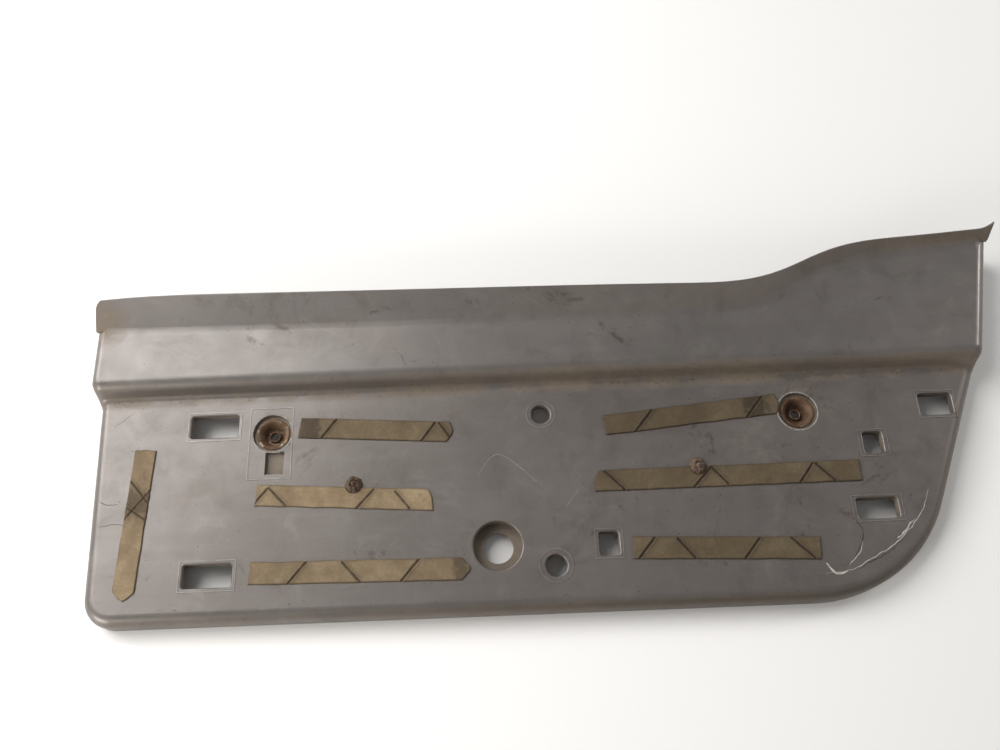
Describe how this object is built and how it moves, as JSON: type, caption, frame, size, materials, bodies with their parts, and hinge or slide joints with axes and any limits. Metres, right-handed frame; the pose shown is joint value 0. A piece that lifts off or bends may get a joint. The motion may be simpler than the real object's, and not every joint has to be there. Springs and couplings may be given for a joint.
{
  "type": "kick plate",
  "caption": "Moulded grey plastic door kick plate with a raised upper band, swept-up lip, clip windows and strips of foam tape on its fixing side.",
  "frame": {"origin": "centre of the bounding box on the plane that the rim stands on", "axes": "+X along the panel to its swept-up end, +Y from the bottom edge to the lip, +Z out of the taped fixing side"},
  "size_m": [0.66, 0.2649, 0.041],
  "materials": {
    "grey_plastic": "semi-gloss silver-grey moulded plastic, scuffed and dirty",
    "foam_tape": "aged khaki double-sided foam tape",
    "rusty_steel": "pressed steel with brown rust",
    "screw_steel": "zinc-plated steel gone brown with rust"
  },
  "bodies": {
    "root": {"moulded_panel": "grey_plastic", "foam_tape_left_end": "foam_tape", "foam_tape_upper_left": "foam_tape", "foam_tape_middle_left": "foam_tape", "foam_tape_lower_left": "foam_tape", "foam_tape_upper_right": "foam_tape", "foam_tape_middle_right": "foam_tape", "foam_tape_lower_right": "foam_tape", "steel_cup_left": "rusty_steel", "eyelet_left": "rusty_steel", "screw_left": "screw_steel", "steel_cup_right": "rusty_steel", "eyelet_right": "rusty_steel", "screw_right": "screw_steel"}
  },
  "joints": []
}
